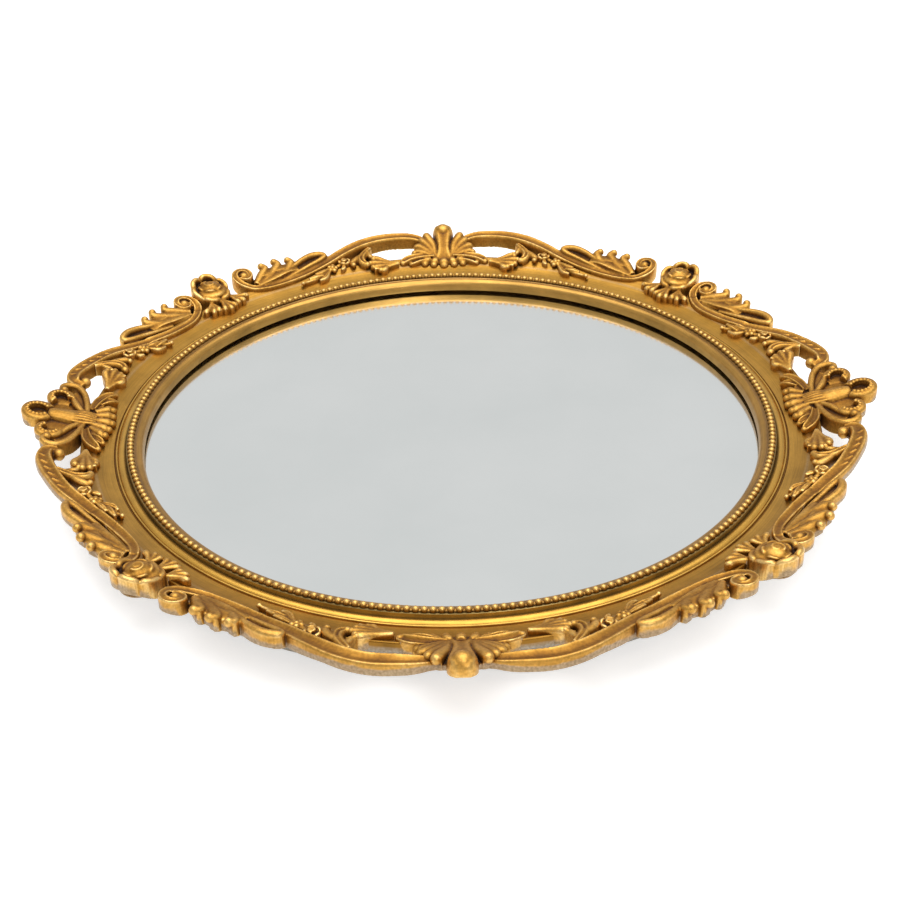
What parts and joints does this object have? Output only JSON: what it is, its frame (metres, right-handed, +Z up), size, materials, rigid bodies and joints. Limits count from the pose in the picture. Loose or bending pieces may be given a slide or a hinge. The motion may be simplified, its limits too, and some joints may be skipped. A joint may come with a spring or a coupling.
{
  "type": "vanity tray",
  "caption": "Round dresser vanity tray with a mirror floor in a gilded frame of pearls, pierced scrolls, shells, cartouches and roses, on rubber feet.",
  "frame": {"origin": "on the table under the middle of the tray", "axes": "+Z up; +X and -X through the two cartouches; +Y and -Y through the two shells"},
  "size_m": [0.3338, 0.3246, 0.0275],
  "materials": {
    "gilt_ring": "antique gold leaf on a turned and gessoed wooden ring, satin",
    "gilt_pearl": "rubbed gold leaf on a pressed composition moulding",
    "gilt_ornament": "antique gold leaf with umber patina on cast composition",
    "mirror": "silvered float glass",
    "board": "brown hardboard",
    "steel": "zinc plated",
    "rubber": "matt black"
  },
  "bodies": {
    "tray": {"frame_ring": "gilt_ring", "pearl_moulding": "gilt_pearl", "mirror_glass": "mirror", "back_board": "board", "shell_north": "gilt_ornament", "shell_south": "gilt_ornament", "cartouche_east": "gilt_ornament", "cartouche_west": "gilt_ornament", "rose_ne": "gilt_ornament", "rose_nw": "gilt_ornament", "rose_sw": "gilt_ornament", "rose_se": "gilt_ornament", "scroll_ene": "gilt_ornament", "scroll_nne": "gilt_ornament", "scroll_nnw": "gilt_ornament", "scroll_wnw": "gilt_ornament", "scroll_wsw": "gilt_ornament", "scroll_ssw": "gilt_ornament", "scroll_sse": "gilt_ornament", "scroll_ese": "gilt_ornament", "acanthus_ene": "gilt_ornament", "acanthus_nne": "gilt_ornament", "acanthus_nnw": "gilt_ornament", "acanthus_wnw": "gilt_ornament", "acanthus_wsw": "gilt_ornament", "acanthus_ssw": "gilt_ornament", "acanthus_sse": "gilt_ornament", "acanthus_ese": "gilt_ornament", "spray_ene": "gilt_ornament", "spray_nne": "gilt_ornament", "spray_nnw": "gilt_ornament", "spray_wnw": "gilt_ornament", "spray_wsw": "gilt_ornament", "spray_ssw": "gilt_ornament", "spray_sse": "gilt_ornament", "spray_ese": "gilt_ornament", "plume_ene": "gilt_ornament", "plume_nne": "gilt_ornament", "plume_nnw": "gilt_ornament", "plume_wnw": "gilt_ornament", "plume_wsw": "gilt_ornament", "plume_ssw": "gilt_ornament", "plume_sse": "gilt_ornament", "plume_ese": "gilt_ornament", "foot_ne": "rubber", "foot_nw": "rubber", "foot_sw": "rubber", "foot_se": "rubber", "button_screw_e": "steel", "button_screw_n": "steel", "button_screw_w": "steel", "button_screw_s": "steel"},
    "turn_button_e": {"turn_button_e": "steel"},
    "turn_button_n": {"turn_button_n": "steel"},
    "turn_button_w": {"turn_button_w": "steel"},
    "turn_button_s": {"turn_button_s": "steel"}
  },
  "joints": [
    {"name": "turn_button_e_pivot", "type": "hinge", "parent": "tray", "child": "turn_button_e", "pos_m": [0.13165, 0, 0.0044], "axis": [0, 0, 1], "continuous": true},
    {"name": "turn_button_n_pivot", "type": "hinge", "parent": "tray", "child": "turn_button_n", "pos_m": [0, 0.13165, 0.0044], "axis": [0, 0, 1], "continuous": true},
    {"name": "turn_button_w_pivot", "type": "hinge", "parent": "tray", "child": "turn_button_w", "pos_m": [-0.13165, 0, 0.0044], "axis": [0, 0, 1], "continuous": true},
    {"name": "turn_button_s_pivot", "type": "hinge", "parent": "tray", "child": "turn_button_s", "pos_m": [0, -0.13165, 0.0044], "axis": [0, 0, 1], "continuous": true}
  ]
}
